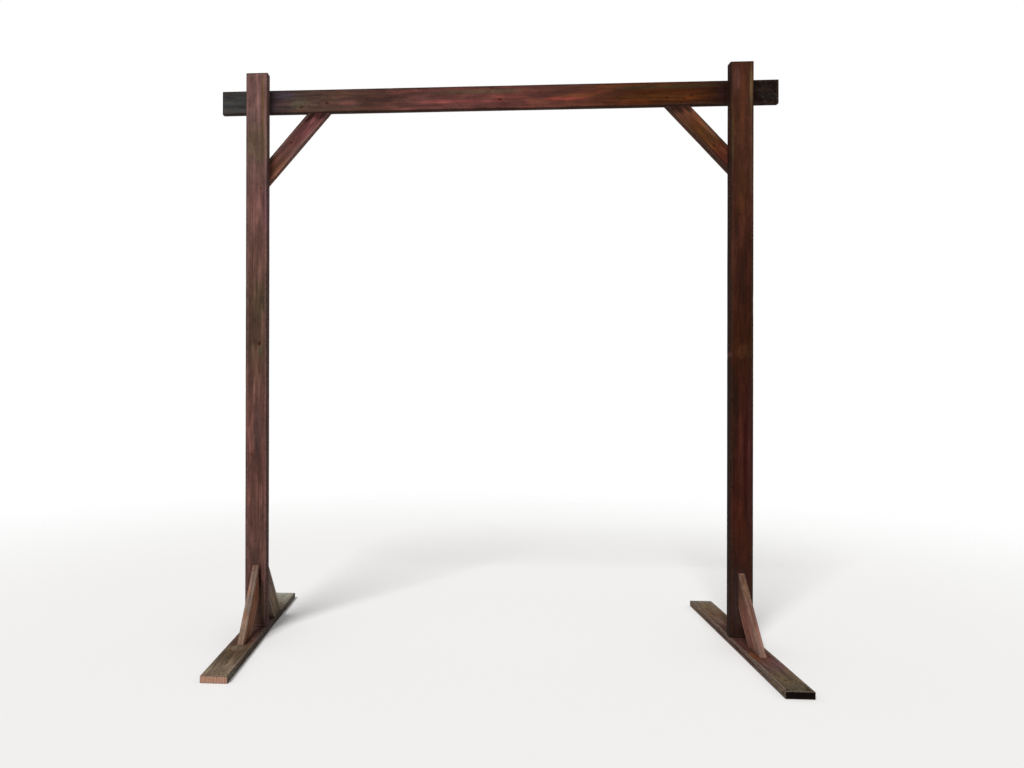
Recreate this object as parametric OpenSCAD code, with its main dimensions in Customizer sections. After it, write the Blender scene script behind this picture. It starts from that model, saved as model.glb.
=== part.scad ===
// Freestanding wedding arch of stained softwood: two posts, broad side to the front, on foot
// planks, a board crossbeam on the posts' back faces, two knee braces and three foot struts.
// +Z is up, +X is to the right seen from the front, which is the -Y side.
// The origin is on the ground, midway between the foot planks and halfway along them.

/* [Posts] */
// Width of each post, across its front
post_w = 95; // [60:1:120]
// Thickness of each post, front to back
post_t = 45; // [30:1:95]
// Length of each post, up from its foot plank
post_len = 2400; // [1800:1:3000]
// Distance between the two posts, centre to centre
post_spacing = 2050; // [1400:1:2800]
// How far the posts stand behind the middle of their foot planks
post_setback = 29; // [0:1:120]

/* [Crossbeam] */
// Height of the crossbeam, which stands on edge
beam_h = 102; // [80:1:150]
// Thickness of the crossbeam, front to back
beam_t = 27; // [18:1:45]
// How far the crossbeam runs past each post's outer face
beam_overhang = 116; // [40:1:250]
// How far the posts stand up above the crossbeam
post_top_rise = 63; // [0:1:150]

/* [Knee braces] */
// Face width of each knee brace
brace_w = 76; // [50:1:110]
// Thickness of each knee brace, front to back
brace_t = 27; // [18:1:45]
// Reach of the left brace's lower edge along the crossbeam, from the post's inner face
left_brace_run = 268; // [220:1:450]
// Drop of the left brace's lower edge down the post, from under the crossbeam
left_brace_drop = 307; // [220:1:450]
// Reach of the right brace's lower edge along the crossbeam, from the post's inner face
right_brace_run = 257; // [220:1:450]
// Drop of the right brace's lower edge down the post, from under the crossbeam
right_brace_drop = 280; // [220:1:450]
// How far each brace laps behind its post
brace_lap = 60; // [30:1:60]

/* [Foot planks] */
// Length of each foot plank, front to back
foot_len = 1272; // [1000:1:1700]
// Width of each foot plank
foot_w = 102; // [95:1:150]
// Thickness of each foot plank
foot_t = 27; // [18:1:45]

/* [Foot struts] */
// Board width of the foot struts
strut_w = 102; // [60:1:120]
// Thickness of the foot struts
strut_t = 27; // [18:1:45]
// Reach of a front strut along its plank, and its height up the post
front_strut_leg = 269; // [200:1:400]
// Reach of the back strut along its plank, and its height up the post
back_strut_leg = 257; // [200:1:400]

/* [Edges] */
// Bevel along the long edges of every piece
arris = 2; // [0.5:0.5:5]

/* [Hidden] */
post_x = post_spacing / 2;
post_half = post_w / 2;
post_back = post_setback + post_t / 2;
beam_len = post_spacing + post_w + 2 * beam_overhang;
beam_bottom = foot_t + post_len - post_top_rise - beam_h;
back_strut_shift = post_half - strut_t / 2;

// Bar of sawn timber along +Z, centred on the Z axis, its long edges bevelled
module bar(width, thickness, length) {
    x = width / 2;
    y = thickness / 2;
    linear_extrude(length)
        polygon([
            [arris - x, -y], [x - arris, -y], [x, arris - y], [x, y - arris],
            [x - arris, y], [arris - x, y], [-x, y - arris], [-x, arris - y]
        ]);
}

// Board across a right-angled corner, in X and Z: its outer edge joins [reach, 0] to
// [0, rise], its lower end is cut flat at Z = 0 and its upper end is cut plumb at X = -lap.
// The bar and the cutting block both run past each other by at least a board's width.
module corner_board(width, thickness, reach, rise, lap) {
    slope = atan2(rise, reach);
    full_reach = reach + lap;
    intersection() {
        translate([reach, 0, 0])
            rotate([0, slope - 90, 0])
                translate([-width / 2, 0, -width])
                    bar(width, thickness, full_reach / cos(slope) + 2 * width);
        translate([-lap, -thickness, 0])
            cube([full_reach + width, 2 * thickness, full_reach * tan(slope) + width]);
    }
}

// Puts a piece where the middle of a post meets its plank: side is -1 left, 1 right
module at_post_foot(side) {
    translate([side * post_x, post_setback, foot_t])
        children();
}

// Post standing on its foot plank
module post(side) {
    at_post_foot(side)
        bar(post_w, post_t, post_len);
}

// Plank lying flat under a post
module foot_plank(side) {
    translate([side * post_x, foot_len / 2, foot_t / 2])
        rotate([90, 0, 0])
            bar(foot_w, foot_t, foot_len);
}

// Strut from the middle of the post's front face down to the plank
module front_strut(side) {
    at_post_foot(side)
        translate([0, -post_t / 2, 0])
            rotate([0, 0, -90])
                corner_board(strut_w, strut_t, front_strut_leg, front_strut_leg, 0);
}

// Strut from the post's back face, flush with its inner face, down to the plank
module back_strut(side) {
    at_post_foot(side)
        translate([-side * back_strut_shift, post_t / 2, 0])
            rotate([0, 0, 90])
                corner_board(strut_w, strut_t, back_strut_leg, back_strut_leg, 0);
}

// Board on edge along the posts' back faces
module beam() {
    translate([-beam_len / 2, post_back + beam_t / 2, beam_bottom + beam_h / 2])
        rotate([90, 0, 90])
            bar(beam_t, beam_h, beam_len);
}

// Brace at the left post, flush with the crossbeam's front face: it butts up under the
// crossbeam and laps behind the post
module knee_brace(run, drop) {
    translate([post_half - post_x, post_back + brace_t / 2, beam_bottom])
        mirror([0, 0, 1])
            corner_board(brace_w, brace_t, run, drop, brace_lap);
}

module left_post() {
    color("#5f3a33")
        post(-1);
}

module right_post() {
    color("#3c2019")
        post(1);
}

module crossbeam() {
    color("#50332c")
        beam();
}

module left_knee_brace() {
    color("#5c3a33")
        knee_brace(left_brace_run, left_brace_drop);
}

module right_knee_brace() {
    color("#54332a")
        mirror([1, 0, 0])
            knee_brace(right_brace_run, right_brace_drop);
}

module left_foot_plank() {
    color("#6e6150")
        foot_plank(-1);
}

module right_foot_plank() {
    color("#5f5140")
        foot_plank(1);
}

module left_front_strut() {
    color("#7a5a4c")
        front_strut(-1);
}

module left_back_strut() {
    color("#6b4a3e")
        back_strut(-1);
}

module right_front_strut() {
    color("#7a5648")
        front_strut(1);
}

left_post();
right_post();
crossbeam();
left_knee_brace();
right_knee_brace();
left_foot_plank();
right_foot_plank();
left_front_strut();
left_back_strut();
right_front_strut();
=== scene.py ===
"""Looks of a free-standing wedding arch of dark stained timber.

Each CAD piece is re-made as a bar of sawn timber with eased and chipped long edges, a
slightly uneven skin and drying splits, and it stays inside the CAD piece that it stands for.
"""

import math
import bpy
from mathutils import Matrix, Vector, noise


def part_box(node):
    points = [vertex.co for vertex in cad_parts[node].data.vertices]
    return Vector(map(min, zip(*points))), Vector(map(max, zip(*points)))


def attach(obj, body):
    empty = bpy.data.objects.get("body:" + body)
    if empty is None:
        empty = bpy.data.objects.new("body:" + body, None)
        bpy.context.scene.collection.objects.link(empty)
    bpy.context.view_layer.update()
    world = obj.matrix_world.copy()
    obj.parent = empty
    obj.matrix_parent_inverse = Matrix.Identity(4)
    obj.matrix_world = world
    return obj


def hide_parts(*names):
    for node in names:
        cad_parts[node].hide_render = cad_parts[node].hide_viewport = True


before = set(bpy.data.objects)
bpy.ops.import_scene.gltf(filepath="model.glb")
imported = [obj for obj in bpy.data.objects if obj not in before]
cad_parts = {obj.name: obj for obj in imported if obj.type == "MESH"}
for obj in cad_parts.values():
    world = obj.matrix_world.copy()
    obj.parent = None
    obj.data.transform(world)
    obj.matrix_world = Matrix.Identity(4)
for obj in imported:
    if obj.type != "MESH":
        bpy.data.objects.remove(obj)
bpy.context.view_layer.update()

MM = 0.001
X, Y, Z = Vector((1, 0, 0)), Vector((0, 1, 0)), Vector((0, 0, 1))

# Widths of the slanting boards, which their boxes don't give
BRACE_WIDTH = 76 * MM
STRUT_WIDTH = 102 * MM

# Radius of the long edges, and the points round each of them
EASED_EDGE = 2.4 * MM
EDGE_STEPS = 5

# How far apart the skin's points stand along and across the grain, and how far in from each
# end their even rows begin
ROW_SPACING = 11 * MM
SKIN_SPACING = 9 * MM
END_MARGIN = 4 * MM

# Edges sharper than this, in degrees, stay crisp in timber and in screws
TIMBER_CREASE = 42
SCREW_CREASE = 40

# Countersunk screws: radius of the head, how far it lies under the wood, how deep its rim
# tapers, and its cross recess, whose slots are given as shares of the radius
SCREW_HEAD = 4.3 * MM
SCREW_SUNK = 0.12 * MM
SCREW_TAPER = 1.2 * MM
RECESS_DEPTH = 1.7 * MM
RECESS_HALF_SLOT = 0.12
RECESS_REACH = 0.6

# Out from the middle of the head, as (share of the radius, share of the taper)
SCREW_RINGS = [
    (0.0, 0.0), (0.1, 0.0), (0.2, 0.0), (0.32, 0.0), (0.44, 0.0), (0.56, 0.0),
    (0.74, 0.02), (0.9, 0.08), (1.0, 0.3), (0.94, 0.62),
]
SCREW_STEPS = 40

# A bar's four long faces go round as +X, +Y, -X, -Y of its own axes, and edge k lies between
# face k and face k + 1
FACES = [X, Y, -X, -Y]
EDGES = [(1, 1), (-1, 1), (-1, -1), (1, -1)]


# ---------------------------------------------------------------- timber shapes


class Lay:
    """Where a bar lies: its size as (width along X, thickness along Y, length along Z), its
    place, and how far each end leans, as Z per metre of X from the low-X edge."""

    def __init__(self, size, middle, across, grain, cuts=(0.0, 0.0)):
        third = grain.cross(across)
        rows = [(across[i], third[i], grain[i], middle[i]) for i in range(3)]
        self.size, self.cuts = size, cuts
        self.place = Matrix((*rows, (0, 0, 0, 1)))

    def on_face(self, face, across, along, under=0.0):
        """A point on one long face: across and along from its middle, and a depth under it."""
        run = FACES[(face + 1) % 4]
        out_by = self.size[face % 2] / 2 - under
        return FACES[face] * out_by + run * across + Vector((0, 0, along))


def straight_lay(node, across, grain):
    """Fills its CAD piece's box."""
    low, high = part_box(node)
    reach = high - low
    size = [abs(reach.dot(axis)) for axis in (across, grain.cross(across), grain)]
    return Lay(size, (low + high) / 2, across, grain)


def corner_lay(node, foot, head, inward, width, thick_axis, foot_cut, head_cut):
    """Lies across a corner. Its outer edge, at low X, runs from foot to head, its body is
    inward of that edge, and each end is cut square to its cut axis."""
    low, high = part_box(node)
    thickness = abs((high - low).dot(thick_axis))
    grain = (head - foot).normalized()
    across = (inward - grain * inward.dot(grain)).normalized()
    cuts = [-across.dot(axis) / grain.dot(axis) for axis in (foot_cut, head_cut)]
    size = (width, thickness, (head - foot).length)
    return Lay(size, (foot + head) / 2 + across * width / 2, across, grain, cuts)


def brace_lay(node, lean):
    """lean is -1 for the left brace and 1 for the right one. Its low-X edge faces down, into
    the passage."""
    low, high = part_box(node)
    middle = (low.y + high.y) / 2
    outer, inner = (low.x, high.x) if lean < 0 else (high.x, low.x)
    foot, head = Vector((outer, middle, low.z)), Vector((inner, middle, high.z))
    return corner_lay(node, foot, head, Vector((lean, 0, 1)), BRACE_WIDTH, Y, X, Z)


def strut_lay(node, lean):
    """lean is -1 for a strut in front of its post and 1 for one behind it. Its low-X edge is
    the sloping upper one."""
    low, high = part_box(node)
    middle = (low.x + high.x) / 2
    toe, heel = (low.y, high.y) if lean < 0 else (high.y, low.y)
    foot, head = Vector((middle, toe, low.z)), Vector((middle, heel, high.z))
    return corner_lay(node, foot, head, Vector((0, -lean, -1)), STRUT_WIDTH, X, Z, Y)


class Split:
    """A drying split along the grain: which face it is on, how far across that face as a
    share, from where to where in metres from the low end, and its depth and width in
    millimetres."""

    def __init__(self, face, across, start, end, depth=3.0, width=1.5):
        self.face, self.across = face, across
        self.start, self.end = start, end
        self.depth, self.width = depth * MM, width * MM

    def opening(self, along):
        """How open the split is here, from 0 at its ends to 1. It tapers over the last third
        at each end and pinches a little on its way."""
        if not self.start < along < self.end:
            return 0.0
        part = (along - self.start) / (self.end - self.start)
        return min(1.0, 3.2 * part, 3.2 * (1 - part)) * (0.75 + 0.25 * math.sin(23 * part))

    def wander(self, along):
        """How far the split strays across the grain here."""
        return 2.2 * MM * noise.noise(Vector((along * 9, self.across * 7, 3.1)))


class Chip:
    """A bruise on one long edge, where the edge is rounder for a short way."""

    def __init__(self, edge, along, depth, reach):
        self.edge, self.along, self.depth, self.reach = edge, along, depth, reach

    def at(self, edge, along):
        if edge != self.edge:
            return 0.0
        return self.depth * math.exp(-(((along - self.along) / self.reach) ** 2))


def scattered_chips(seed, count, length):
    # Single noise values repeat from run to run. noise_vector doesn't: the clock seeds it
    chips = []
    for k in range(count):
        spot = Vector((seed * 3.7 + k * 1.9, k * 0.77, seed * 1.3))
        roll = Vector([noise.noise(spot + n * Vector((5.3, 11.7, 17.4))) for n in range(3)])
        chips.append(
            Chip(
                edge=(k + seed) % 4,
                along=(0.5 + 0.62 * roll.x) * length,
                depth=(1.2 + 2.2 * abs(roll.y)) * MM,
                reach=(9 + 26 * abs(roll.z)) * MM,
            )
        )
    return chips


def face_stops(size, splits):
    """Places across one face for points of the skin, as shares of its flat width: close
    together beside the eased edges and at each split. A place holds its split, and how far
    it stands to the side of the split's middle, if it belongs to one."""
    beside_edge, clear_of_split = 2.5 * MM, 4.6 * MM
    inner = max(2, round(size / SKIN_SPACING))
    near = min(0.2, beside_edge / size)
    shares = [near, 1 - near] + [near + (1 - 2 * near) * k / inner for k in range(1, inner)]
    stops = []
    for share in shares:
        if all(abs(share - s.across) * size > clear_of_split for s in splits):
            stops.append((share, None, 0.0))
    for s in splits:
        for side in (-3.0, -1.0, 0.0, 1.0, 3.0):
            stops.append((s.across, s, side * s.width / 2))
    return sorted(stops, key=lambda stop: stop[0] * size + stop[2])


def skin_ring(width, thickness, splits):
    """The points once round a bar, as (kind, face or edge, share, split, side): across each
    long face, then round the edge after it."""
    ring = []
    for f in range(4):
        across = thickness if f % 2 == 0 else width
        for share, split, side in face_stops(across, [s for s in splits if s.face == f]):
            ring.append(("face", f, share, split, side))
        for step in range(EDGE_STEPS):
            ring.append(("edge", f, step / (EDGE_STEPS - 1), None, 0.0))
    return ring


def timber_rows(length):
    """Rows of skin points along the grain: (share of the length, distance up from the low
    end or down from the high end, how much the ring draws in there)."""
    ends = [(0.0, 1.3 * MM), (0.4 * MM, 0.55 * MM), (1.3 * MM, 0.0), (END_MARGIN, 0.0)]
    inner = max(2, round(length / ROW_SPACING))
    rows = [(0.0, off, draw) for off, draw in ends]
    rows += [(k / inner, None, 0.0) for k in range(1, inner)]
    rows += [(1.0, off, draw) for off, draw in reversed(ends)]
    return rows


def new_piece(name, place, points, faces, kinds, skins, crease, **kept):
    """An object from points in their bar's own axes. kinds gives each face its skin, and
    kept are values held at the points for the materials to be drawn by."""
    mesh = bpy.data.meshes.new(name)
    mesh.from_pydata([place @ Vector(p) for p in points], [], faces)
    for label, values in kept.items():
        mesh.attributes.new(label, "FLOAT", "POINT").data.foreach_set("value", values)
    for skin in skins:
        mesh.materials.append(skin)
    mesh.polygons.foreach_set("material_index", kinds)
    mesh.polygons.foreach_set("use_smooth", [True] * len(faces))
    mesh.update()
    mesh.set_sharp_from_angle(angle=math.radians(crease))
    piece = bpy.data.objects.new(name, mesh)
    bpy.context.scene.collection.objects.link(piece)
    return piece


def make_timber(name, lay, skins, chips, seed, splits=()):
    """A bar of timber in its place. Each point keeps its own place in the bar, for the grain
    to be drawn by. skins are the materials of the long faces, the low end and the high end."""
    width, thickness, length = lay.size
    half = (width / 2, thickness / 2)
    bruises = scattered_chips(seed, chips, length)
    ring = skin_ring(width, thickness, splits)
    rows = timber_rows(length)

    def ease(edge, along):
        """Radius of a long edge here: a little uneven, and larger at a chip."""
        wave = noise.noise(Vector((along * 5, edge * 4.3, seed * 2.1)))
        radius = EASED_EDGE * (1 + 0.35 * wave)
        return radius + sum(chip.at(edge, along) for chip in bruises)

    def hollow(spot):
        """How far the sawn skin lies under the full size here."""
        slow = noise.noise(Vector((spot.x * 24, spot.y * 24, spot.z * 3.2 + seed * 7)))
        quick = noise.noise(Vector((spot.x * 90, spot.y * 90, spot.z * 14 + seed * 5)))
        return (0.42 + 0.3 * slow + 0.11 * quick) * MM

    def skin_point(stop, along, draw):
        """(place across the bar, way out, how worn it is, how deep in a split it is)."""
        kind, f, share, split, side = stop
        if kind == "edge":
            r = ease(f, along)
            sx, sy = EDGES[f]
            turn = math.radians(90 * (f + share))
            out = Vector((math.cos(turn), math.sin(turn)))
            spot = Vector((sx * (half[0] - r), sy * (half[1] - r))) + out * (r - draw)
            return spot, out, 1.0, 0.0
        out, run = FACES[f].xy, FACES[(f + 1) % 4].xy
        before, after = ease((f - 1) % 4, along), ease(f, along)
        h = half[(f + 1) % 2]
        u = -(h - before) + (2 * h - before - after) * share
        out_by, deep = half[f % 2] - draw, 0.0
        if split:
            opening = split.opening(along)
            u += split.wander(along) + side * (0.35 + 0.65 * opening)
            deep = opening if side == 0 else 0.0
            out_by -= deep * split.depth
        return out * out_by + run * u, out, 0.0, deep

    def end_height(which, x):
        lean = lay.cuts[which] * (x + half[0])
        return (length / 2 if which else -length / 2) + lean

    points, worn, split_by = [], [], []
    for share, off, draw in rows:
        along = share * length + (0 if off is None else off * (1 - 2 * share))
        for stop in ring:
            spot, out, wear, deep = skin_point(stop, along, draw)
            low, high = end_height(0, spot.x), end_height(1, spot.x)
            if off is None:
                z = low + END_MARGIN + (high - low - 2 * END_MARGIN) * share
            else:
                z = high - off if share else low + off
            flat = spot - out * hollow(Vector((spot.x, spot.y, z)))
            points.append((flat.x, flat.y, z))
            worn.append(max(wear, 1.0 if draw else 0.0))
            split_by.append(deep)

    count = len(ring)
    faces, kinds = [], []
    for r in range(len(rows) - 1):
        a, b = r * count, (r + 1) * count
        for c in range(count):
            d = (c + 1) % count
            faces.append((a + c, a + d, b + d, b + c))
            kinds.append(0)

    # Each end closes in three rings, roughened by the saw, with a last face in the middle
    for which, first in ((0, 0), (1, (len(rows) - 1) * count)):
        outer = list(range(first, first + count))
        for shrink in (0.78, 0.42, 0.14):
            inner = []
            for k in range(count):
                x, y, _ = points[first + k]
                x, y = x * shrink, y * shrink
                rough = 0.35 * MM * (0.5 + 0.5 * noise.noise(Vector((x * 160, y * 160, seed))))
                inner.append(len(points))
                points.append((x, y, end_height(which, x) + (-rough if which else rough)))
                worn.append(0.0)
                split_by.append(0.0)
            for c in range(count):
                d = (c + 1) % count
                quad = (outer[c], inner[c], inner[d], outer[d])
                faces.append(quad[::-1] if which else quad)
                kinds.append(1 + which)
            outer = inner
        faces.append(tuple(outer) if which else tuple(reversed(outer)))
        kinds.append(1 + which)

    piece = new_piece(name, lay.place, points, faces, kinds, skins, TIMBER_CREASE, worn=worn, split=split_by)
    layer = piece.data.attributes.new("grain_place", "FLOAT_VECTOR", "POINT")
    layer.data.foreach_set("vector", [value for p in points for value in p])
    return piece


def make_screw_head(name, lay, face, across, along, steel, turn):
    """Countersunk head, flush in a long face, with a cross recess that turn swings round."""
    out, run = FACES[face], FACES[(face + 1) % 4]
    centre = lay.on_face(face, across, along, under=SCREW_SUNK)
    points, recess = [], []
    for share, drop in SCREW_RINGS:
        for k in range(SCREW_STEPS if share else 1):
            angle = 2 * math.pi * k / SCREW_STEPS
            u, v = share * math.cos(angle), share * math.sin(angle)
            across_slot, along_slot = min(abs(u), abs(v)), max(abs(u), abs(v))
            is_open = across_slot < RECESS_HALF_SLOT and along_slot < RECESS_REACH
            depth = (1.0 - 0.9 * along_slot) * RECESS_DEPTH if is_open else 0.0
            flat = run * math.cos(angle + turn) + Z * math.sin(angle + turn)
            points.append(centre + flat * share * SCREW_HEAD - out * (depth + drop * SCREW_TAPER))
            recess.append(1.0 if is_open else 0.0)
    faces = [(0, 1 + k, 1 + (k + 1) % SCREW_STEPS) for k in range(SCREW_STEPS)]
    for r in range(len(SCREW_RINGS) - 2):
        a, b = 1 + r * SCREW_STEPS, 1 + (r + 1) * SCREW_STEPS
        for k in range(SCREW_STEPS):
            n = (k + 1) % SCREW_STEPS
            faces.append((a + k, b + k, b + n, a + n))
    kinds = [0] * len(faces)
    return new_piece(name, lay.place, points, faces, kinds, [steel], SCREW_CREASE, recess=recess)


# ---------------------------------------------------------------- materials

# Settings that nodes share: paint laid over, a tint multiplied in, a soft border
OVER = {"data_type": "RGBA"}
TIMES = {"data_type": "RGBA", "blend_type": "MULTIPLY"}
SOFT = {"interpolation_type": "SMOOTHSTEP"}

KNOT_BROWN = "#22130e"
# Painted shade along the edges and round the screws, also laid in the splits
SHADE_AND_DIRT = "#1a100d"
KNOT_REDDENING = (1.3, 1.05, 0.9, 1)

# Saw marks stand this far apart, and lean by this much across the bar
SAW_MARKS = 3.4 * MM
SAW_LEAN = 0.12

# A knot is longer along the grain than across it by 1 / KNOT_OVAL. Its outline is bumpy by
# KNOT_BUMPS and it bends the grain out to KNOT_REACH, both in radii
KNOT_OVAL = 0.62
KNOT_BUMPS = 1.6
KNOT_REACH = 3.4

# How far the rings waver, slowly and quickly, and how many rings a knot pushes aside
SLOW_WAVER = 70 * MM
QUICK_WAVER = 11 * MM
KNOT_PUSH = 2.2


def linear(code):
    """A colour written as sRGB hex, turned to linear."""
    parts = [int(code[i : i + 2], 16) / 255 for i in (1, 3, 5)]
    return [p / 12.92 if p <= 0.04045 else ((p + 0.055) / 1.055) ** 2.4 for p in parts] + [1.0]


def add(tree, kind, sockets=None, stops=None, **settings):
    """Adds one node with its settings. A socket takes a number, a colour, or a node or
    output to link from."""
    node = tree.nodes.new("ShaderNode" + kind)
    for label, value in settings.items():
        setattr(node, label, value)
    for label, value in (sockets or {}).items():
        live = [s for s in node.inputs if s.enabled]
        socket = live[label] if isinstance(label, int) else next(s for s in live if s.name == label)
        if isinstance(value, bpy.types.Node):
            value = next(s for s in value.outputs if s.enabled)
        if isinstance(value, bpy.types.NodeSocket):
            tree.links.new(value, socket)
        else:
            socket.default_value = value
    if stops:
        ramp = node.color_ramp
        while len(ramp.elements) < len(stops):
            ramp.elements.new(0.5)
        for element, (place, shade) in zip(ramp.elements, stops):
            element.position = place
            element.color = linear(shade) if isinstance(shade, str) else (shade, shade, shade, 1)
    return node


def new_material(name):
    material = bpy.data.materials.new(name)
    material.use_nodes = True
    material.node_tree.nodes.clear()
    return material, material.node_tree


class Bar:
    """One bar of pine: how it lies, and how it was sawn from its tree. pith is where the
    tree's heart runs, from the bar's middle, and ring is the spacing of the growth rings.
    Real rings are 3 to 5 mm apart, and these are drawn wider so that they show. knots are
    (x, y, z, radius), and screws are (face, across, along). All are in millimetres."""

    def __init__(self, lay, pith, ring, knots, seed, screws=()):
        self.lay, self.pith, self.ring = lay, pith, ring
        self.knots, self.screws, self.seed = knots, screws, seed


def grain_places(tree, bar):
    """Each point's place in its bar, and the same moved off by the bar's own seed, so that
    no two bars share a pattern."""
    spot = add(tree, "Attribute", attribute_name="grain_place").outputs["Vector"]
    off = (bar.seed, bar.seed * 0.7, bar.seed * 1.3)
    return spot, add(tree, "VectorMath", {0: spot, 1: off}, operation="ADD")


def clouds(tree, spot, across, along, detail=3.0, rough=0.55):
    """Cloudy pattern, its patches about across wide and along long, in millimetres."""
    scale = (1 / (across * MM), 1 / (across * MM), 1 / (along * MM))
    stretched = add(tree, "VectorMath", {0: spot, 1: scale}, operation="MULTIPLY")
    sockets = {"Vector": stretched, "Scale": 1.0, "Detail": detail, "Roughness": rough}
    return add(tree, "TexNoise", sockets).outputs["Fac"]


def distance(tree, spot, centre, scale=None):
    """How far each point is from a centre, with each axis scaled first."""
    away = add(tree, "VectorMath", {0: spot, 1: centre}, operation="SUBTRACT")
    if scale:
        away = add(tree, "VectorMath", {0: away, 1: scale}, operation="MULTIPLY")
    return add(tree, "VectorMath", {0: away}, operation="LENGTH").outputs["Value"]


def knot_distances(tree, spot, shift, bar):
    """For each knot, how far each point is from it, with a bumpy outline that is drawn out
    along the grain, and its radius."""
    bumps = clouds(tree, shift, 7, 12, detail=2.0)
    knots = []
    for x, y, z, radius in bar.knots:
        bumpy = KNOT_BUMPS * radius * MM
        far = distance(tree, spot, (x * MM, y * MM, z * MM), scale=(1, 1, KNOT_OVAL))
        far = add(tree, "Math", {0: bumps, 1: bumpy, 2: far}, operation="MULTIPLY_ADD")
        far = add(tree, "Math", {0: far, 1: bumpy / 2}, operation="SUBTRACT")
        knots.append((far, radius))
    return knots


def knot_pull(tree, knots):
    """How strongly the knots bend the grain that runs past them."""
    pull = 0.0
    for far, radius in knots:
        reach = KNOT_REACH * radius * MM
        tug = {"Value": far, "From Max": reach, "To Min": 1.0, "To Max": 0.0}
        tug = add(tree, "MapRange", tug, interpolation_type="SMOOTHERSTEP")
        pull = add(tree, "Math", {0: tug, 1: pull}, operation="ADD")
    return pull


def knot_eyes(tree, knots):
    """The hard, dark wood of the knots themselves."""
    eye = 0.0
    for far, radius in knots:
        half, full = 0.5 * radius * MM, radius * MM
        core = {"Value": far, "From Min": half, "From Max": full, "To Min": 1.0, "To Max": 0.0}
        core = add(tree, "MapRange", core, **SOFT)
        eye = add(tree, "Math", {0: core, 1: eye}, operation="MAXIMUM")
    return eye


def late_wood(tree, spot, shift, bar, pull):
    """The dark late wood of each growth ring. The rings waver along the bar and bend round
    its knots."""
    slow = clouds(tree, shift, 120, 700, detail=2.0)
    quick = clouds(tree, shift, 26, 170, detail=2.0)
    heart, ring = (bar.pith[0] * MM, bar.pith[1] * MM, 0), bar.ring * MM
    out_by = distance(tree, spot, heart, scale=(1, 1, 0))
    for pattern, strength in ((slow, SLOW_WAVER), (quick, QUICK_WAVER), (pull, -KNOT_PUSH * ring)):
        out_by = add(tree, "Math", {0: pattern, 1: strength, 2: out_by}, operation="MULTIPLY_ADD")
    rings = add(tree, "Math", {0: out_by, 1: ring}, operation="DIVIDE")
    part = add(tree, "Math", {0: rings}, operation="FRACT")
    levels = [(0.0, 0.2), (0.45, 0.3), (0.8, 1.0), (0.9, 0.9), (1.0, 0.2)]
    return add(tree, "ValToRGB", {0: part}, stops=levels)


def light_and_dark(tree, colour, patterns):
    """Lays patterns over a colour, each as (pattern, darkest, lightest, share)."""
    for pattern, darkest, lightest, share in patterns:
        grey = {"Value": pattern, "From Min": 0.3, "From Max": 0.7, "To Min": darkest, "To Max": lightest}
        grey = add(tree, "MapRange", grey)
        colour = add(tree, "Mix", {"Factor": share, "A": colour, "B": grey}, **TIMES)
    return colour


def stain_tones(tree, spot, up, ragged, length, tones, patches):
    """The stain along the bar, then its patches, with borders that the blotches break up."""
    along = add(tree, "Math", {0: up, 1: 1 / length, 2: 0.5}, operation="MULTIPLY_ADD")
    along = add(tree, "Math", {0: ragged, 1: 0.05, 2: along}, operation="MULTIPLY_ADD")
    colour = add(tree, "ValToRGB", {0: along}, stops=tones)
    for x, z, half_x, half_z, tone, share in patches:
        sizes = (1 / (half_x * MM), 0, 1 / (half_z * MM))
        far = distance(tree, spot, (x * MM, 0, z * MM), scale=sizes)
        far = add(tree, "Math", {0: ragged, 1: 1.3, 2: far}, operation="MULTIPLY_ADD")
        here = {"Value": far, "From Min": 0.45, "From Max": 1.3, "To Min": share, "To Max": 0.0}
        here = add(tree, "MapRange", here, **SOFT)
        colour = add(tree, "Mix", {"Factor": here, "A": colour, "B": linear(tone)}, **OVER)
    return colour


def edge_inset(tree, own, size):
    """How far in from the nearest edge: the middle one of the distances to the bar's faces
    on its three axes."""
    in_by = []
    for axis, reach in zip("XYZ", size):
        off_middle = add(tree, "Math", {0: own.outputs[axis]}, operation="ABSOLUTE")
        in_by.append(add(tree, "Math", {0: reach / 2, 1: off_middle}, operation="SUBTRACT"))
    low = add(tree, "Math", {0: in_by[0], 1: in_by[1]}, operation="MINIMUM")
    high = add(tree, "Math", {0: in_by[0], 1: in_by[1]}, operation="MAXIMUM")
    inset = add(tree, "Math", {0: high, 1: in_by[2]}, operation="MINIMUM")
    return add(tree, "Math", {0: low, 1: inset}, operation="MAXIMUM")


def finish_wood(tree, colour, gloss, bump):
    """Wood's own surface: a rough solid with hardly any gleam."""
    shader = add(
        tree, "BsdfPrincipled",
        {"Base Color": colour, "Roughness": gloss, "Normal": bump, "IOR": 1.5, "Specular IOR Level": 0.05},
    )
    add(tree, "OutputMaterial", {"Surface": shader})


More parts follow.
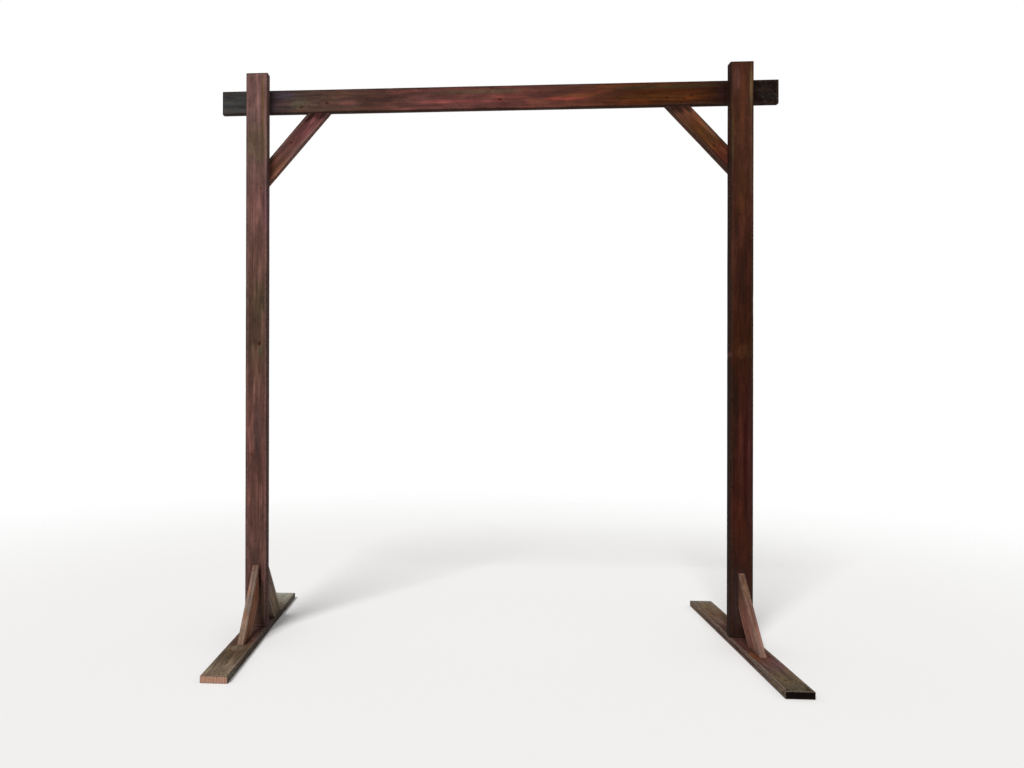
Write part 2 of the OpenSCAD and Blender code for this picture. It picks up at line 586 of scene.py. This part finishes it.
def stained_pine(
    name, bar, tones, patches, streak, rubbed, flecks=None, edge_shade=0.55, figure=1.0, sawn=0.0,
    rough=0.86,
):
    """Sawn pine under a dark oil stain. The stain soaks in and leaves no film, so the wood
    is dull and its rings, fibres and knots show through. It took unevenly, in streaks and
    blotches, and hands and weather have rubbed it off along the edges.

    tones are the stain's colours along the grain, from the low end (0) to the high end (1).
    patches are (x, z, half width, half length, tone, share) in millimetres from the bar's
    middle. streak is how much redder, greener and bluer the streaks are than the ground.
    rubbed is (tone, share) of the bare wood along the edges. flecks are pale specks, as
    (tone, share, how far from the middle they start and how far they are thickest). edge_shade
    is how dark the painted shade along the edges is, figure how strongly the grain shows, and
    sawn how deep the saw marks are."""
    material, tree = new_material(name)
    spot, shift = grain_places(tree, bar)
    own = add(tree, "SeparateXYZ", {0: spot})
    side, up = own.outputs["X"], own.outputs["Z"]
    knots = knot_distances(tree, spot, shift, bar)
    pull, eye = knot_pull(tree, knots), knot_eyes(tree, knots)
    late = late_wood(tree, spot, shift, bar, pull)

    # A real fibre is under 0.1 mm wide. It is drawn 1.4 mm wide, the finest that shows
    fibres = clouds(tree, shift, 1.4, 70, rough=0.6)
    streaks = clouds(tree, shift, 17, 190, detail=2.0, rough=0.5)
    blotch = clouds(tree, shift, 55, 150, rough=0.6)
    mottle = clouds(tree, shift, 22, 50, rough=0.6)
    speckle = clouds(tree, shift, 9, 13, rough=0.65)
    ragged = add(tree, "Math", {0: blotch, 1: streaks}, operation="ADD")
    ragged = add(tree, "Math", {0: ragged, 1: 1.0}, operation="SUBTRACT")

    colour = stain_tones(tree, spot, up, ragged, bar.lay.size[2], tones, patches)

    # Streaks of another tone, then rings, fibres and blotches as light and dark
    where = add(tree, "MapRange", {"Value": streaks, "From Min": 0.48, "From Max": 0.66, "To Max": 0.8})
    colour = add(tree, "Mix", {"Factor": where, "A": colour, "B": (*streak, 1)}, **TIMES)
    fade = {"Value": blotch, "From Min": 0.35, "From Max": 0.65, "To Min": 0.25 * figure, "To Max": figure}
    fade = add(tree, "MapRange", fade)
    patterns = [
        (late, 1.06, 0.82, fade), (fibres, 0.87, 1.13, 1.0), (streaks, 0.8, 1.2, figure),
        (blotch, 0.7, 1.14, 1.0), (mottle, 0.84, 1.14, 1.0), (speckle, 0.9, 1.1, 1.0),
    ]
    colour = light_and_dark(tree, colour, patterns)

    # Knots: a dark eye in slightly redder wood
    halo = {"Value": pull, "From Min": 0.3, "From Max": 0.9, "To Max": 0.6}
    halo = add(tree, "MapRange", halo, **SOFT)
    colour = add(tree, "Mix", {"Factor": halo, "A": colour, "B": KNOT_REDDENING}, **TIMES)
    dark = add(tree, "Math", {0: eye, 1: 0.65}, operation="MULTIPLY")
    colour = add(tree, "Mix", {"Factor": dark, "A": colour, "B": linear(KNOT_BROWN)}, **OVER)

    # Bare wood in a band beside the edges, and on the edges themselves
    bare_tone, bare_share = rubbed
    inset = edge_inset(tree, own, bar.lay.size)
    uneven = add(tree, "Math", {0: ragged, 1: 14 * MM, 2: inset}, operation="MULTIPLY_ADD")
    band = {"Value": uneven, "From Min": 5 * MM, "From Max": 13 * MM, "To Min": bare_share, "To Max": 0.0}
    band = add(tree, "MapRange", band, **SOFT)
    worn = add(tree, "Attribute", attribute_name="worn").outputs["Fac"]
    bare = add(tree, "Math", {0: worn, 1: 0.3 * bare_share}, operation="MULTIPLY")
    bare = add(tree, "Math", {0: bare, 1: band}, operation="MAXIMUM")
    patchy = add(tree, "MapRange", {"Value": speckle, "From Min": 0.38, "From Max": 0.6, "To Min": 0.35})
    bare = add(tree, "Math", {0: bare, 1: patchy}, operation="MULTIPLY")
    colour = add(tree, "Mix", {"Factor": bare, "A": colour, "B": linear(bare_tone)}, **OVER)

    # Pale specks of dried dirt towards the ends
    if flecks:
        fleck_tone, fleck_share, start, thickest = flecks
        dots = clouds(tree, shift, 8, 11, detail=2.0)
        dots = {"Value": dots, "From Min": 0.52, "From Max": 0.66, "To Max": fleck_share}
        dots = add(tree, "MapRange", dots)
        off_middle = add(tree, "Math", {0: up}, operation="ABSOLUTE")
        near_end = {"Value": off_middle, "From Min": start * MM, "From Max": thickest * MM}
        near_end = add(tree, "MapRange", near_end)
        dots = add(tree, "Math", {0: dots, 1: near_end}, operation="MULTIPLY")
        colour = add(tree, "Mix", {"Factor": dots, "A": colour, "B": linear(fleck_tone)}, **OVER)

    # Painted shade: dark outlines along the edges and a shadow ring round each screw. The splits are
    # darkened too
    uneven = add(tree, "Math", {0: ragged, 1: 7 * MM, 2: inset}, operation="MULTIPLY_ADD")
    edge = {"Value": uneven, "From Min": 3 * MM, "From Max": 8 * MM, "To Min": edge_shade, "To Max": 0.0}
    edge = add(tree, "MapRange", edge, **SOFT)
    shade_and_dirt = add(tree, "Attribute", attribute_name="split").outputs["Fac"]
    shade_and_dirt = add(tree, "Math", {0: edge, 1: shade_and_dirt}, operation="MAXIMUM")
    rim, clear = 1.05 * SCREW_HEAD, 1.9 * SCREW_HEAD
    for face, across, along in bar.screws:
        far = distance(tree, spot, bar.lay.on_face(face, across * MM, along * MM))
        ring = {"Value": far, "From Min": rim, "From Max": clear, "To Min": 0.5, "To Max": 0.0}
        ring = add(tree, "MapRange", ring, **SOFT)
        shade_and_dirt = add(tree, "Math", {0: ring, 1: shade_and_dirt}, operation="MAXIMUM")
    colour = add(tree, "Mix", {"Factor": shade_and_dirt, "A": colour, "B": linear(SHADE_AND_DIRT)}, **OVER)

    # Dry pale streaks are rougher, the rings stand up a little, and the saw left ridges
    gloss = {"From Min": 0.3, "From Max": 0.7, "To Min": rough - 0.08, "To Max": rough + 0.1}
    gloss = add(tree, "MapRange", {"Value": streaks, **gloss})
    height = add(tree, "Math", {0: late, 1: 0.5, 2: fibres}, operation="MULTIPLY_ADD")
    height = add(tree, "Math", {0: eye, 1: 0.6, 2: height}, operation="MULTIPLY_ADD")
    if sawn:
        marks = add(tree, "Math", {0: side, 1: SAW_LEAN, 2: up}, operation="MULTIPLY_ADD")
        marks = add(tree, "Math", {0: marks, 1: 2 * math.pi / SAW_MARKS}, operation="MULTIPLY")
        marks = add(tree, "Math", {0: blotch, 1: 9.0, 2: marks}, operation="MULTIPLY_ADD")
        ridges = add(tree, "Math", {0: marks}, operation="SINE")
        height = add(tree, "Math", {0: ridges, 1: 0.35 * sawn, 2: height}, operation="MULTIPLY_ADD")
    bump = add(tree, "Bump", {"Strength": 0.5, "Distance": 0.6 * MM, "Height": height})
    finish_wood(tree, colour, gloss, bump)
    return material


def end_grain(name, bar, pale, dark, dirty=0.5):
    """Sawn end of a pine bar. The open ends of the fibres drink stain and dirt, so it is
    rough and dull, with growth rings cut across and scratches left by the saw. Real pores
    are under 0.1 mm wide, and these are drawn 1.1 mm wide so that they show."""
    material, tree = new_material(name)
    spot, shift = grain_places(tree, bar)
    pull = knot_pull(tree, knot_distances(tree, spot, shift, bar))
    late = late_wood(tree, spot, shift, bar, pull)
    blotch = clouds(tree, shift, 17, 17)
    pores = clouds(tree, shift, 1.1, 1.1, detail=2.0)
    scratches = clouds(tree, shift, 2.2, 40, detail=2.0)
    colour = add(tree, "Mix", {"Factor": late, "A": linear(pale), "B": linear(dark)}, **OVER)
    patterns = [(blotch, 0.7, 1.2, dirty), (pores, 0.86, 1.12, 1.0), (scratches, 0.85, 1.12, 1.0)]
    colour = light_and_dark(tree, colour, patterns)
    height = add(tree, "Math", {0: late, 1: 0.4, 2: pores}, operation="MULTIPLY_ADD")
    bump = add(tree, "Bump", {"Strength": 0.6, "Distance": 0.7 * MM, "Height": height})
    gloss = add(tree, "MapRange", {"Value": pores, "To Min": 0.72, "To Max": 0.92})
    finish_wood(tree, colour, gloss, bump)
    return material


def browned_steel():
    """Brown-coated exterior screw steel: a thin, dull coat over the metal, with a weak dark
    gleam, blotches of rust through it and a darker recess."""
    material, tree = new_material("browned_screw_steel")
    spot = add(tree, "TexCoord").outputs["Object"]
    rust = add(tree, "TexNoise", {"Vector": spot, "Scale": 700.0, "Detail": 3.0}).outputs["Fac"]
    recess = add(tree, "Attribute", attribute_name="recess").outputs["Fac"]
    coat = add(tree, "ValToRGB", {0: rust}, stops=[(0.35, "#2b211c"), (0.55, "#38291f"), (0.7, "#4b2f1f")])
    colour = add(tree, "Mix", {"Factor": recess, "A": coat, "B": linear("#160e0b")}, **OVER)
    gloss = add(tree, "MapRange", {"Value": rust, "To Min": 0.4, "To Max": 0.7})
    shader = add(tree, "BsdfPrincipled", {"Base Color": colour, "Roughness": gloss, "Metallic": 0.5})
    add(tree, "OutputMaterial", {"Surface": shader})
    return material


# ---------------------------------------------------------------- the arch

steel = browned_steel()

# Half length of a patch that runs from end to end of any bar
WHOLE = 2000


def stand_in(node, slot, bar, skin, low_end, high_end=None, **shape):
    """Timber that takes its CAD node's place and rides with the frame, and its screws."""
    skins = (skin, low_end, high_end or low_end)
    piece = make_timber(f"timber_{node}", bar.lay, skins, **shape)
    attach(piece, "root")
    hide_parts(node)
    for k, (face, across, along) in enumerate(bar.screws, 1):
        turn = 0.7 * k + bar.seed
        head = make_screw_head(f"screw_{node}_{k}", bar.lay, face, across * MM, along * MM, steel, turn)
        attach(head, "root")


# Left post: rosy brown, faded, olive where the stain has worn thin. Face 3 is its front
left_post = Bar(
    straight_lay("left_post", X, Z), (-26, 62), 7.0,
    knots=[(13, -22, 28, 8), (-20, -22, -452, 6), (18, -22, 700, 5), (4, 22, 350, 11)], seed=1.7,
)
# Its right side darkened as painted shade, then ochre and olive wear at the head, a dark knot
# at half height with olive beside it, pale rubbed streaks, and painted shadow on its foot behind the strut
left_post_skin = stained_pine(
    "rosy_brown_stained_pine", left_post,
    tones=[
        (0.0, "#4a332c"), (0.05, "#573c35"), (0.13, "#543b35"), (0.2, "#5f413a"), (0.3, "#583a34"),
        (0.39, "#5f3f38"), (0.5, "#533e32"), (0.59, "#583f34"), (0.66, "#62463e"), (0.77, "#694843"),
        (0.87, "#685049"), (0.98, "#72524d"),
    ],
    patches=[
        (47, 0, 6, WHOLE, "#2a1a18", 0.6),
        (27, 1046, 7, 200, "#6d5237", 0.7), (0, 891, 60, 80, "#64543f", 0.5),
        (40, 600, 9, 100, "#6a4652", 0.5), (14, 215, 30, 95, "#4a4130", 0.6),
        (-5, 31, 26, 17, "#3f2f27", 0.6), (18, 2, 9, 24, "#58553d", 0.6),
        (-9, -176, 4, 62, "#7d5a53", 0.6), (12, -170, 4, 66, "#7d5a53", 0.55),
        (5, -355, 22, 115, "#493a38", 0.5), (-18, 470, 9, 150, "#73504a", 0.5),
        (18, -985, 8, 62, "#2a150d", 0.85), (20, -1100, 30, 70, "#5c4a3e", 0.5),
    ],
    streak=(1.45, 1.4, 1.42), rubbed=("#8d6d68", 0.4),
)
stand_in(
    "left_post", "left_post_stain", left_post, left_post_skin,
    end_grain("rosy_stained_pine_end", left_post, "#5c423a", "#3a2721"),
    splits=[
        Split(3, 0.62, 0.15, 0.75), Split(3, 0.3, 1.3, 2.05),
        Split(0, 0.45, 0.9, 1.7, 2.0, 1.0), Split(1, 0.5, 0.3, 1.9, 4.0),
    ],
    chips=7, seed=1,
)

# Right post: deep red-brown, ochre by the knots at half height. Face 3 is its front
right_post = Bar(
    straight_lay("right_post", X, Z), (24, 60), 7.5,
    knots=[
        (0, -22, -2, 5), (1, -22, -21, 5), (-43, -22, -46, 8), (-14, -22, -560, 5),
        (-10, -22, 560, 6), (-6, 22, -300, 11),
    ],
    screws=[(3, 28, 1039)], seed=4.1,
)
# Its left side darkened as painted shade, then ochre and rosy wear at the head, ochre round
# the knots at half height, red and purple bands below them, and a greyer foot
right_post_skin = stained_pine(
    "red_brown_stained_pine", right_post,
    tones=[
        (0.0, "#2a1914"), (0.2, "#351911"), (0.3, "#341510"), (0.42, "#2c140e"), (0.5, "#33190c"),
        (0.6, "#321911"), (0.8, "#42241a"), (0.88, "#4a2b1d"), (1.0, "#402419"),
    ],
    patches=[
        (-47, 0, 6, WHOLE, "#150c0a", 0.7),
        (37, 1101, 7, 98, "#6b5a3e", 0.65), (-20, 1130, 18, 62, "#5c3a34", 0.5),
        (-38, 885, 7, 105, "#4a4024", 0.4), (37, 830, 6, 220, "#553a2b", 0.6),
        (0, 656, 24, 120, "#503018", 0.4), (-36, 330, 9, 260, "#42251a", 0.6),
        (2, -8, 36, 34, "#4a2d1a", 0.5), (-46, -22, 9, 14, "#5a3c3a", 0.5),
        (-4, -430, 12, 330, "#43231b", 0.6), (15, -400, 6, 330, "#2b0c0a", 0.65),
        (31, -440, 6, 330, "#43292a", 0.5), (-32, -330, 12, 260, "#27180f", 0.6),
        (0, -1050, 48, 120, "#463431", 0.45),
    ],
    streak=(1.32, 1.2, 1.1), rubbed=("#5a4030", 0.3), figure=0.8,
)
stand_in(
    "right_post", "right_post_stain", right_post, right_post_skin,
    end_grain("red_stained_pine_end", right_post, "#45291f", "#271510"),
    splits=[
        Split(3, 0.36, 0.1, 0.9), Split(3, 0.68, 1.2, 2.2),
        Split(2, 0.55, 0.5, 1.6, 2.0, 1.0), Split(1, 0.42, 0.6, 2.2, 4.0),
    ],
    chips=7, seed=2,
)

# Crossbeam: weathered grey at the left end, rosy at the middle, ochre to black at the right.
# Face 1 is its front
crossbeam = Bar(
    straight_lay("crossbeam", Z, X), (-32, -78), 9.0,
    knots=[
        (-8, 13, -728, 7), (-24, 13, -838, 8), (-16, 13, 728, 6), (-7, 13, 830, 7),
        (-22, 13, 800, 5), (44, 13, -12, 8), (-8, 13, 22, 8), (12, -13, 300, 9),
    ],
    screws=[(3, 24, -1040), (3, -24, -1008), (3, 22, 1012), (3, -24, 1038)], seed=7.3,
)
# Its underside darkened as painted shade, then grey-blue and olive wear at the left, rosy
# and ochre bands, painted shade on the beam beside the right post, and the blackened right end
crossbeam_skin = stained_pine(
    "brown_stained_pine_board", crossbeam,
    tones=[
        (0.0, "#3a3c3b"), (0.07, "#3a3a3a"), (0.1, "#392d30"), (0.16, "#463730"), (0.24, "#4c362f"),
        (0.3, "#4a312b"), (0.37, "#603b37"), (0.5, "#613834"), (0.6, "#59352d"), (0.76, "#48240f"),
        (0.85, "#40210f"), (0.9, "#27140d"), (0.95, "#190f0b"), (1.0, "#160d0a"),
    ],
    patches=[
        (-51, 0, 7, WHOLE, "#1a100e", 0.7),
        (28, -904, 18, 50, "#453d4c", 0.5), (-8, -852, 26, 55, "#4d4b3e", 0.55),
        (-10, -640, 16, 70, "#6c4743", 0.5), (27, -40, 12, 190, "#584b39", 0.6),
        (-14, -165, 9, 210, "#844643", 0.7), (-11, 300, 8, 105, "#883f37", 0.7),
        (-1, 355, 10, 80, "#7e4c2c", 0.35), (31, 690, 10, 270, "#3e3421", 0.65),
        (-15, 720, 14, 210, "#5e3617", 0.6), (0, 950, 44, 18, "#301a1c", 0.5),
        (0, 1136, 32, 30, "#2a1f19", 0.6),
    ],
    streak=(1.5, 1.32, 1.2), rubbed=("#62483a", 0.25),
    flecks=("#5e574e", 0.18, 1075, 1105), figure=0.85, sawn=0.6,
)
stand_in(
    "crossbeam", "crossbeam_stain", crossbeam, crossbeam_skin,
    end_grain("dark_board_end_grain", crossbeam, "#3f3a36", "#241c18"),
    splits=[Split(1, 0.4, 0.5, 0.95, 2.5), Split(1, 0.66, 1.5, 2.15, 2.5), Split(3, 0.5, 0.1, 1.1)],
    chips=7, seed=3,
)


def head_shade(up, step, tone):
    """Three patches down a brace's slanting head: painted shade where it meets the beam."""
    places = [(-24, up, 26), (2, up - step, 26), (27, up - 2 * step, 24)]
    return [(x, z, half_width, 30, tone, 0.8) for x, z, half_width in places]


# Left brace: rosy, orange along its lower edge by the post
left_brace = Bar(
    brace_lay("left_knee_brace", -1), (22, -60), 8.0, knots=[(8, 13, 40, 6)],
    screws=[(3, 14, 150), (3, -10, -205)], seed=2.9,
)
left_brace_skin = stained_pine(
    "russet_stained_pine", left_brace,
    tones=[
        (0.0, "#4a2c20"), (0.2, "#5c3826"), (0.32, "#5c3a2c"), (0.45, "#62413a"), (0.7, "#5c3837"),
        (0.86, "#613c3b"), (1.0, "#583432"),
    ],
    patches=[
        (-26, -90, 9, 85, "#94604c", 0.65), (24, -105, 16, 45, "#3a251d", 0.7),
        (-28, 90, 7, 120, "#84655c", 0.5), (20, 170, 14, 50, "#5c3430", 0.6),
        *head_shade(228, 25, "#2a1412"),
    ],
    streak=(1.5, 1.4, 1.4), rubbed=("#8f7468", 0.4), sawn=0.5,
)
stand_in(
    "left_knee_brace", "brace_stain", left_brace, left_brace_skin,
    end_grain("russet_board_end_grain", left_brace, "#553a30", "#33201a"), chips=3, seed=6,
)

# Right brace: ochre brown, pinker at its head
right_brace = Bar(
    brace_lay("right_knee_brace", 1), (18, 60), 8.0, knots=[(-6, -13, -30, 6)],
    screws=[(3, 24, 146), (1, 10, -205)], seed=8.8,
)
right_brace_skin = stained_pine(
    "ochre_stained_pine", right_brace,
    tones=[
        (0.0, "#4a262c"), (0.36, "#52281b"), (0.5, "#50301c"), (0.68, "#55311a"), (0.85, "#5a382b"),
        (1.0, "#56352b"),
    ],
    patches=[
        (-10, 10, 22, 70, "#5c3a1c", 0.5), (10, -60, 10, 40, "#70402c", 0.5),
        (-28, -60, 8, 120, "#2e1712", 0.6), (24, 60, 8, 90, "#6e5040", 0.5),
        *head_shade(214, 24, "#20100c"),
    ],
    streak=(1.5, 1.35, 1.15), rubbed=("#7a6052", 0.3), sawn=0.5,
)
stand_in(
    "right_knee_brace", "brace_stain", right_brace, right_brace_skin,
    end_grain("ochre_board_end_grain", right_brace, "#4c3224", "#2c1a12"), chips=3, seed=7,
)

# Left foot plank: grey at the back, olive brown in front, its front end sawn bare. Its low
# end is the back one, and face 1 is its top
left_plank = Bar(
    straight_lay("left_foot_plank", X, -Y), (92, -30), 9.5,
    knots=[(22, 13, -430, 9), (-20, 13, 330, 8), (10, 13, 480, 6)], seed=5.5,
)
left_plank_skin = stained_pine(
    "weathered_grey_brown_pine", left_plank,
    tones=[
        (0.0, "#a09c8e"), (0.1, "#857e6f"), (0.2, "#5c5143"), (0.33, "#4e3936"), (0.66, "#573f36"),
        (0.74, "#54412f"), (0.84, "#564636"), (0.92, "#705e4c"), (1.0, "#7d6955"),
    ],
    patches=[
        # Its right side face darkened as painted shade, and the strut's shadow painted on its top beside the
        # strut's foot
        (51, 0, 5, WHOLE, "#241a16", 0.75),
        (10, 110, 34, 80, "#6a4038", 0.45), (24, 205, 24, 40, "#40201a", 0.65),
        (-10, 300, 45, 42, "#7f6f5e", 0.4), (-30, 200, 14, 90, "#4d3a32", 0.5),
        (10, -500, 40, 70, "#8c8678", 0.5),
    ],
    streak=(1.4, 1.45, 1.45), rubbed=("#a3968a", 0.25),
    flecks=("#a8a294", 0.4, 380, 560), edge_shade=0.4, figure=0.7, sawn=1.0, rough=0.88,
)
bare_end = end_grain("bare_sawn_pine_end", left_plank, "#b18c78", "#8b6250", dirty=0.4)
left_plank_end = end_grain("grey_board_end_grain", left_plank, "#6d6456", "#453b31")
stand_in(
    "left_foot_plank", "weathered_plank", left_plank, left_plank_skin, left_plank_end, bare_end,
    splits=[Split(1, 0.45, 0.85, 1.25, 2.5), Split(1, 0.7, 0.05, 0.4, 2.5)], chips=8, seed=4,
)

# Right foot plank: ochre at the back, purple brown by the strut, front end nearly black
right_plank = Bar(
    straight_lay("right_foot_plank", X, -Y), (-16, -72), 8.5,
    knots=[(-18, 13, -400, 8), (24, 13, 250, 8), (-8, 13, 520, 7)], seed=9.4,
)
right_plank_skin = stained_pine(
    "weathered_purple_brown_pine", right_plank,
    tones=[
        (0.0, "#6a625a"), (0.1, "#665446"), (0.2, "#5a4535"), (0.33, "#4c352d"), (0.45, "#452e28"),
        (0.6, "#4b2c25"), (0.7, "#55362b"), (0.8, "#57403a"), (0.9, "#5c4d3b"), (0.965, "#574b3c"),
        (1.0, "#120d0b"),
    ],
    patches=[
        # Its left side face darkened as painted shade
        (-51, 0, 5, WHOLE, "#241612", 0.6),
        (4, -545, 26, 40, "#735c38", 0.5), (-28, 245, 18, 60, "#6e4024", 0.6),
        (26, 330, 22, 80, "#5c4144", 0.6), (44, 600, 14, 60, "#1c1715", 0.8),
        (-14, -285, 20, 90, "#6e584e", 0.55),
    ],
    streak=(1.45, 1.45, 1.4), rubbed=("#9a8678", 0.6),
    flecks=("#8f7e5a", 0.3, 300, 480), edge_shade=0.4, figure=0.75, sawn=1.0, rough=0.88,
)
black_end = end_grain("blackened_board_end", right_plank, "#120806", "#060403")
right_plank_end = end_grain("ochre_plank_end_grain", right_plank, "#66553f", "#40321f")
stand_in(
    "right_foot_plank", "weathered_plank", right_plank, right_plank_skin, right_plank_end, black_end,
    splits=[Split(1, 0.35, 0.8, 1.2, 2.5), Split(1, 0.6, 0.06, 0.35, 2.5)], chips=8, seed=5,
)

# Struts: worn pale grey-pink on the sloping upper edge, browner on the sides. Each has two
# screws in either side
strut_screws = [(1, -18, -118), (1, 12, 96), (3, 18, -118), (3, -12, 96)]

left_strut = Bar(
    strut_lay("left_front_strut", -1), (30, -66), 8.0, knots=[(-10, -13, 60, 7)],
    screws=strut_screws, seed=3.3,
)
left_strut_skin = stained_pine(
    "orange_brown_worn_pine", left_strut,
    tones=[(0.0, "#6c4a3c"), (0.25, "#704c38"), (0.8, "#7a5140"), (1.0, "#5c4038")],
    patches=[
        (-51, -115, 9, 70, "#867060", 0.85), (-51, 5, 9, 75, "#62564f", 0.9),
        (-51, 115, 9, 60, "#6c5b55", 0.85), (0, 60, 28, 60, "#7c4c34", 0.5),
        (30, -60, 24, 70, "#6b5a4c", 0.35),
    ],
    streak=(1.4, 1.4, 1.35), rubbed=("#a88c7a", 0.42), edge_shade=0.25, sawn=0.6,
)
stand_in(
    "left_front_strut", "strut_stain", left_strut, left_strut_skin,
    end_grain("worn_strut_end_grain", left_strut, "#6a4f42", "#412c23"), chips=3, seed=8,
)

right_strut = Bar(
    strut_lay("right_front_strut", -1), (28, 66), 8.0, knots=[(12, 13, -40, 6)],
    screws=strut_screws, seed=6.1,
)
right_strut_skin = stained_pine(
    "pink_brown_worn_pine", right_strut,
    tones=[(0.0, "#7c6055"), (0.25, "#7e594d"), (0.5, "#764f45"), (0.8, "#634636"), (1.0, "#5c4238")],
    patches=[
        (-51, -130, 9, 60, "#7c5e52", 0.8), (-51, 10, 9, 80, "#62453a", 0.8),
        (-51, 100, 9, 45, "#5e4636", 0.8), (-51, 160, 9, 35, "#4c3428", 0.8),
        (10, -40, 40, 150, "#6c4338", 0.5),
    ],
    streak=(1.4, 1.4, 1.35), rubbed=("#9c7c6e", 0.42), edge_shade=0.25, sawn=0.6,
)
stand_in(
    "right_front_strut", "strut_stain", right_strut, right_strut_skin,
    end_grain("pink_strut_end_grain", right_strut, "#664a3e", "#3d2820"), chips=3, seed=9,
)

back_strut = Bar(
    strut_lay("left_back_strut", 1), (30, -60), 8.0, knots=[(0, 13, 20, 6)],
    screws=strut_screws, seed=4.7,
)
back_strut_skin = stained_pine(
    "grey_olive_worn_pine", back_strut,
    tones=[(0.0, "#544a3c"), (0.45, "#6c5b4b"), (1.0, "#6a5350")],
    patches=[(-45, -60, 10, 120, "#8f8672", 0.6)],
    streak=(1.35, 1.35, 1.3), rubbed=("#9c9282", 0.4), edge_shade=0.3, sawn=0.6,
)
stand_in(
    "left_back_strut", "strut_stain", back_strut, back_strut_skin,
    end_grain("olive_strut_end_grain", back_strut, "#665a49", "#3f3529"), chips=3, seed=10,
)


# ---------------------------------------------------------------- floor, light and camera

# The floor's radius, and how far from the middle it starts and ends fading out, in metres
FLOOR_REACH = 9.0
FLOOR_FADE = (1.9, 5.5)
FLOOR_STEPS = 64

# The camera's sensor, in millimetres
SENSOR_WIDTH = 36


def studio_floor():
    """A plain pale floor, matt as painted board, that fades out before its rim, so that it
    has no horizon."""
    mesh = bpy.data.meshes.new("studio_floor")
    turns = [2 * math.pi * k / FLOOR_STEPS for k in range(FLOOR_STEPS)]
    rim = [(FLOOR_REACH * math.cos(a), FLOOR_REACH * math.sin(a), 0.0) for a in turns]
    mesh.from_pydata(rim, [], [tuple(range(FLOOR_STEPS))])
    floor = bpy.data.objects.new("studio_floor", mesh)
    bpy.context.scene.collection.objects.link(floor)
    material, tree = new_material("matt_white_floor")
    spot = add(tree, "TexCoord").outputs["Object"]
    far = add(tree, "VectorMath", {0: spot}, operation="LENGTH").outputs["Value"]
    fade = {"Value": far, "From Min": FLOOR_FADE[0], "From Max": FLOOR_FADE[1]}
    fade = add(tree, "MapRange", fade, **SOFT)
    seen = add(tree, "LightPath").outputs["Is Camera Ray"]
    clear = add(tree, "Math", {0: fade, 1: seen}, operation="MULTIPLY")
    matt = add(tree, "BsdfDiffuse", {"Color": linear("#fbfaf9")})
    through = add(tree, "BsdfTransparent")
    add(tree, "OutputMaterial", {"Surface": add(tree, "MixShader", {0: clear, 1: matt, 2: through})})
    mesh.materials.append(material)


def studio_world(strength):
    """Plain white all round, which also fills the shadows."""
    world = bpy.data.worlds.new("studio_white")
    bpy.context.scene.world = world
    world.use_nodes = True
    tree = world.node_tree
    tree.nodes.clear()
    light = add(tree, "LightPath").outputs
    seen = add(tree, "Math", {0: light["Is Camera Ray"], 1: light["Is Glossy Ray"]}, operation="MAXIMUM")
    seen = add(tree, "Math", {0: seen, 1: light["Is Transmission Ray"]}, operation="MAXIMUM")
    level = add(tree, "MapRange", {"Value": seen, "To Min": strength, "To Max": 1.0})
    glow = add(tree, "Background", {"Color": linear("#ffffff"), "Strength": level})
    add(tree, "OutputWorld", {"Surface": glow})


def soft_sun(name, towards, strength, spread):
    """Even light that travels towards a direction, soft as from a large white screen."""
    lamp = bpy.data.lights.new(name, "SUN")
    lamp.energy, lamp.angle = strength, math.radians(spread)
    holder = bpy.data.objects.new(name, lamp)
    holder.rotation_euler = Vector(towards).to_track_quat("-Z", "Y").to_euler()
    bpy.context.scene.collection.objects.link(holder)


def set_camera(spot, yaw, pitch, roll, focal, shift):
    """Camera at spot, turned yaw to the right of +Y and pitch upward, in radians. focal is
    in widths of the picture."""
    ahead = Vector((math.sin(yaw) * math.cos(pitch), math.cos(yaw) * math.cos(pitch), math.sin(pitch)))
    right = Vector((math.cos(yaw), -math.sin(yaw), 0))
    up = right.cross(ahead)
    turned = right * math.cos(roll) + up * math.sin(roll)
    top = up * math.cos(roll) - right * math.sin(roll)
    lens = bpy.data.cameras.new("eye_level_camera")
    lens.sensor_width = SENSOR_WIDTH
    lens.lens = SENSOR_WIDTH * focal
    lens.shift_x = shift
    camera = bpy.data.objects.new("eye_level_camera", lens)
    rows = [(turned[i], top[i], -ahead[i], spot[i]) for i in range(3)]
    camera.matrix_world = Matrix((*rows, (0, 0, 0, 1)))
    bpy.context.scene.collection.objects.link(camera)
    bpy.context.scene.camera = camera


studio_floor()
studio_world(strength=0.375)
soft_sun("front_key", towards=(0.25, 0.66, -0.71), strength=2.4, spread=20)
set_camera(
    (-0.1293, -3.7318, 1.0756), yaw=-0.07256, pitch=0.00121, roll=0.00207,
    focal=0.855371, shift=0.1094,
)
bpy.context.scene.view_settings.view_transform = "Standard"
